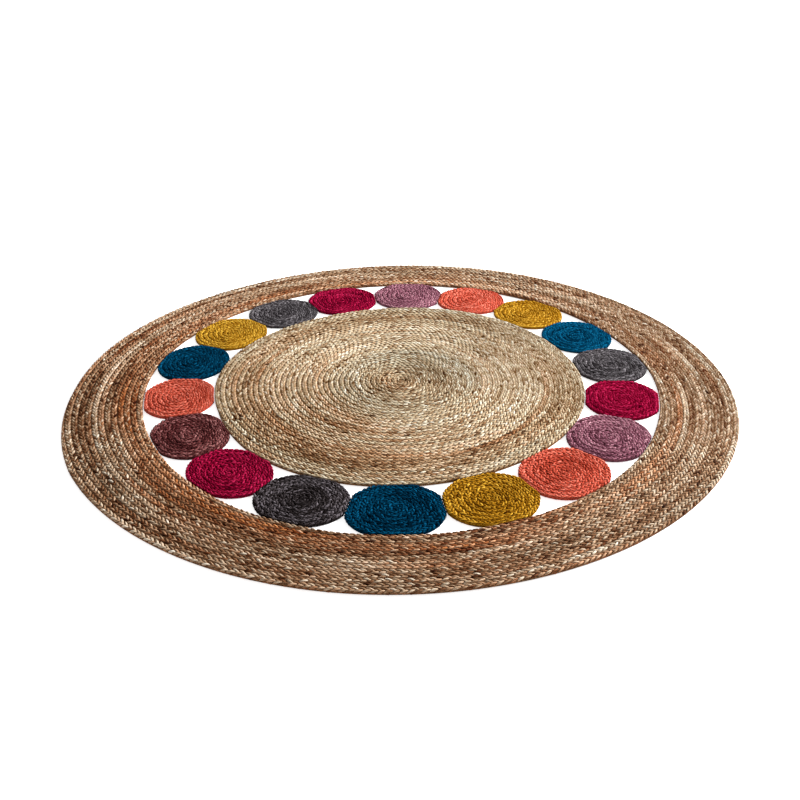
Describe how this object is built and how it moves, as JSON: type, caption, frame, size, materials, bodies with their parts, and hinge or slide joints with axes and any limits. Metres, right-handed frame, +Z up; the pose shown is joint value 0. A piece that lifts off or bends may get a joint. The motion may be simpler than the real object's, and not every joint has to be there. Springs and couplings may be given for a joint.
{
  "type": "round braided jute rug with dyed medallions",
  "caption": "Round flat rug of coiled braid: a centre disc and a wide outer ring in natural jute, joined by a row of small dyed coiled medallions.",
  "frame": {"origin": "middle of the rug, on its flat underside", "axes": "+Z up through the rug's thickness, away from the floor; +X and +Y lie in the rug, with -Y towards the viewer of the picture"},
  "size_m": [1.5031, 1.4976, 0.009],
  "materials": {
    "natural_ring": "plaited natural jute, golden brown with darker strands",
    "natural_disc": "plaited natural jute, pale straw to beige",
    "lilac": "plaited jute dyed dusty lilac",
    "coral": "plaited jute dyed coral",
    "mustard": "plaited jute dyed mustard",
    "teal": "plaited jute dyed dark teal",
    "grey": "plaited jute dyed grey",
    "charcoal": "plaited jute dyed charcoal",
    "crimson": "plaited jute dyed crimson",
    "plum": "plaited jute dyed plum"
  },
  "bodies": {
    "root": {"outer_ring": "natural_ring", "centre_disc": "natural_disc", "medallion_01_lilac": "lilac", "medallion_02_coral": "coral", "medallion_03_mustard": "mustard", "medallion_04_teal": "teal", "medallion_05_grey": "grey", "medallion_06_crimson": "crimson", "medallion_07_lilac": "lilac", "medallion_08_coral": "coral", "medallion_09_mustard": "mustard", "medallion_10_teal": "teal", "medallion_11_charcoal": "charcoal", "medallion_12_crimson": "crimson", "medallion_13_plum": "plum", "medallion_14_coral": "coral", "medallion_15_teal": "teal", "medallion_16_mustard": "mustard", "medallion_17_grey": "grey", "medallion_18_crimson": "crimson"}
  },
  "joints": []
}
